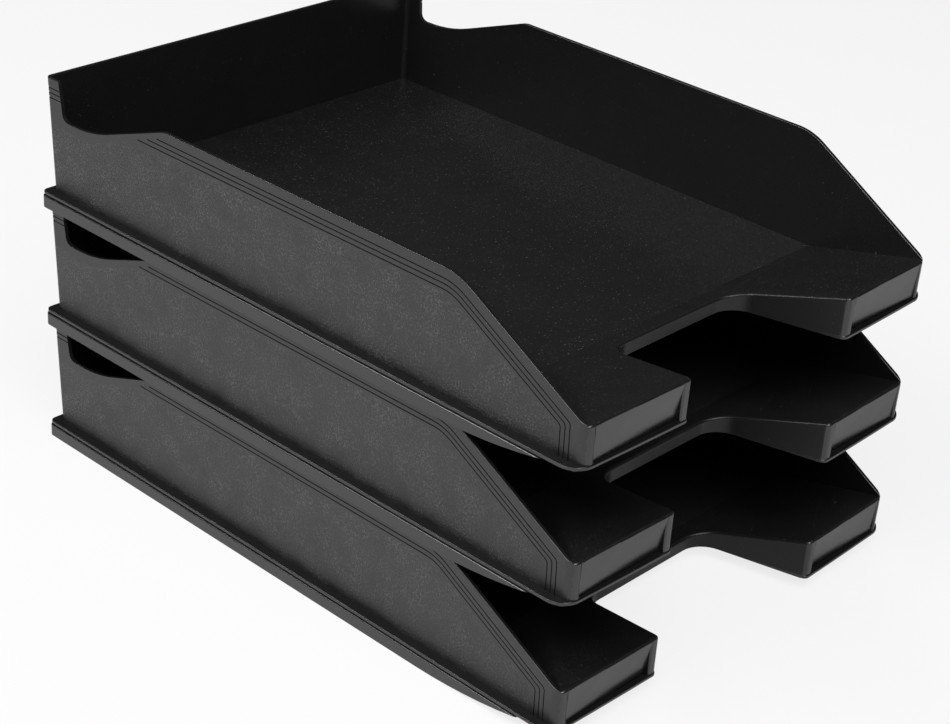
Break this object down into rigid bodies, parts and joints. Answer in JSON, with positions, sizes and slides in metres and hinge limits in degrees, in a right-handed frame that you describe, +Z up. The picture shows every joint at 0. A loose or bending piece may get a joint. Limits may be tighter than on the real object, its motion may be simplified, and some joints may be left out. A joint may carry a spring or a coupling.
{
  "type": "stackable letter tray set",
  "caption": "Stacked open-front letter trays with scooped side walls, a ramped front lip and a thumb notch; each lifts off the one below.",
  "frame": {"origin": "on the surface the stack stands on, under the middle of its outline", "axes": "+Z up; -Y is the open front of the trays and +Y the back; +X is to the right when seen from the front"},
  "size_m": [0.248, 0.3465, 0.195],
  "materials": {
    "tray_plastic": "fine-grained matt black injection-moulded polystyrene"
  },
  "bodies": {
    "bottom": {"tray_bottom": "tray_plastic"},
    "middle": {"tray_middle": "tray_plastic"},
    "top": {"tray_top": "tray_plastic"}
  },
  "joints": [
    {"name": "middle_lift", "type": "slide", "parent": "bottom", "child": "middle", "axis": [0, 0, 1], "range_m": [0, 0.08]},
    {"name": "top_lift", "type": "slide", "parent": "middle", "child": "top", "axis": [0, 0, 1], "range_m": [0, 0.08]}
  ]
}
